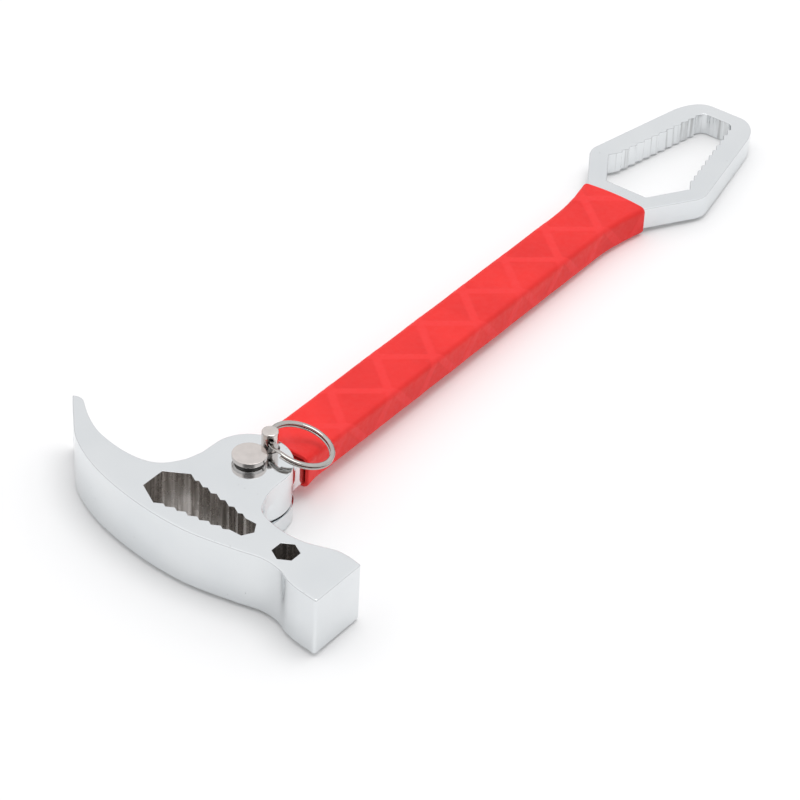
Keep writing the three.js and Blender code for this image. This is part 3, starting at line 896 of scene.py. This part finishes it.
def make_spring(material):
    """A coil in the pin's pocket, from just under the pocket's roof down to just above the flange."""
    low = FLANGE_Z[1] + SPRING_WIRE_R + SPRING_END_GAP
    high = POCKET_ROOF_Z - SPRING_WIRE_R - SPRING_END_GAP
    spring = coil(
        "pin_spring", SPRING_R, lambda t: (2 * math.pi * SPRING_TURNS * t, low + (high - low) * t),
        arc(SPRING_WIRE_R, 0, 330, 11), 150, material)
    spring.data.transform(Matrix.Translation(Vector((*PIN, 0)) * MM))
    tidy_shading(spring, 50, weighted=False)
    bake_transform(spring)
    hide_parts("lock_spring")


def oval_wire_section(sides=24):
    """Rolled wire, wider than it is high."""
    angles = [2 * math.pi * i / sides for i in range(sides)]
    return [(RING_WIDTH / 2 * math.cos(a), RING_TURN_H / 2 * math.sin(a)) for a in angles]


def make_ring(material):
    """Two turns of wire, with one step up between them, hung through the pin's cross hole."""
    jog = math.radians(RING_JOG)

    def path(t):
        angle = (4 * math.pi - jog) * t
        s = min(max((angle - 2 * math.pi + jog) / jog, 0), 1)
        return angle, RING_LAYER * (s * s * (3 - 2 * s) - 0.5)

    ring = coil("key_ring", RING_R, path, oval_wire_section(), 340, material)
    spin = Matrix.Rotation(math.radians(RING_START), 4, "Z")
    out = Matrix.Translation((RING_R * MM, 0, 0))
    tilt = Matrix.Rotation(math.radians(RING_TILT), 4, "Y")
    turn = Matrix.Rotation(math.radians(RING_AZIMUTH), 4, "Z")
    place = Matrix.Translation(Vector((*PIN, RING_HOLE_Z)) * MM)
    ring.data.transform(place @ turn @ tilt @ out @ spin)
    tidy_shading(ring, 50, weighted=False)
    finish_piece(ring, "ring", "spring_steel", "split_ring")


# ---- studio -----------------------------------------------------------------
def add_floor():
    """White paper under the tool, with a little light of its own."""
    half = 6  # metres
    rest = FLOOR_REST_Y * MM
    below = 0.00005  # so that it nowhere meets the tool's own faces
    mesh = bpy.data.meshes.new("floor")
    corners = [(-half, -half), (half, -half), (half, half), (-half, half)]
    mesh.from_pydata([(x, y, FLOOR_SLOPE * (y - rest) - below) for x, y in corners], [], [(0, 1, 2, 3)])
    floor = bpy.data.objects.new("floor", mesh)
    bpy.context.scene.collection.objects.link(floor)
    shader = Shader("floor_paper")
    paper = {
        "Base Color": (0.9, 0.9, 0.9, 1), "Roughness": 0.8, "Specular IOR Level": 0.2,
        "Emission Color": (1, 1, 1, 1), "Emission Strength": 0.065,
    }
    for name, value in paper.items():
        shader.surface.inputs[name].default_value = value
    mesh.materials.append(shader.material)


def add_world():
    """A pale studio that is brightest overhead, with a dark place behind the camera."""
    world = bpy.data.worlds.new("studio")
    world.use_nodes = True
    tree = world.node_tree
    place = tree.nodes.new("ShaderNodeTexCoord").outputs["Generated"]
    split = tree.nodes.new("ShaderNodeSeparateXYZ")
    tree.links.new(place, split.inputs[0])
    ramp = tree.nodes.new("ShaderNodeValToRGB")
    elements = ramp.color_ramp.elements
    while len(elements) < len(SKY):
        elements.new(0.5)
    for element, (position, value) in zip(elements, SKY):
        element.position = position
        element.color = (value, value, value * 1.01, 1)
    tree.links.new(split.outputs["Z"], ramp.inputs["Fac"])
    toward = tree.nodes.new("ShaderNodeVectorMath")
    toward.operation = "DOT_PRODUCT"
    toward.inputs[1].default_value = DARK_TOWARD
    tree.links.new(place, toward.inputs[0])
    shade = tree.nodes.new("ShaderNodeMapRange")
    shade.interpolation_type = "SMOOTHSTEP"
    for key, value in zip(("From Min", "From Max", "To Min", "To Max"), (*DARK_EDGE, 1, DARK_LEVEL)):
        shade.inputs[key].default_value = value
    tree.links.new(toward.outputs["Value"], shade.inputs["Value"])
    background = tree.nodes["Background"]
    tree.links.new(ramp.outputs["Color"], background.inputs["Color"])
    tree.links.new(shade.outputs["Result"], background.inputs["Strength"])
    bpy.context.scene.world = world


def add_light(name, place, power, size, target=(0, 0.1, 0)):
    """A round soft light that faces the target."""
    data = bpy.data.lights.new(name, "AREA")
    data.energy = power
    data.shape = "DISK"
    data.size = size
    light = bpy.data.objects.new(name, data)
    bpy.context.scene.collection.objects.link(light)
    light.location = place
    light.rotation_mode = "QUATERNION"
    light.rotation_quaternion = (Vector(target) - Vector(place)).to_track_quat("-Z", "Y")


def main():
    add_camera()
    plated = chrome()
    raw = raw_steel()
    silver = nickel()
    spring = nickel("spring_wire", (0.52, 0.50, 0.475), (0.06, 0.12))
    make_head(plated, raw)
    make_handle(plated, chrome("broached_chrome", broached=True))
    make_sleeve(red_vinyl())
    make_rivet(silver)
    # the washer under the rivet's head is painted nearly black: painted shade for the dark gap under the
    # rivet's head
    make_washers(nickel("painted_shadow_steel", (0.10, 0.095, 0.09), (0.3, 0.5)), bronze())
    make_pin(silver)
    make_spring(spring)
    make_ring(spring)
    add_floor()
    add_world()
    add_light("overhead", place=(0.15, 0.2, 1.5), power=6, size=1.0)
    bpy.context.scene.view_settings.view_transform = "Standard"


main()
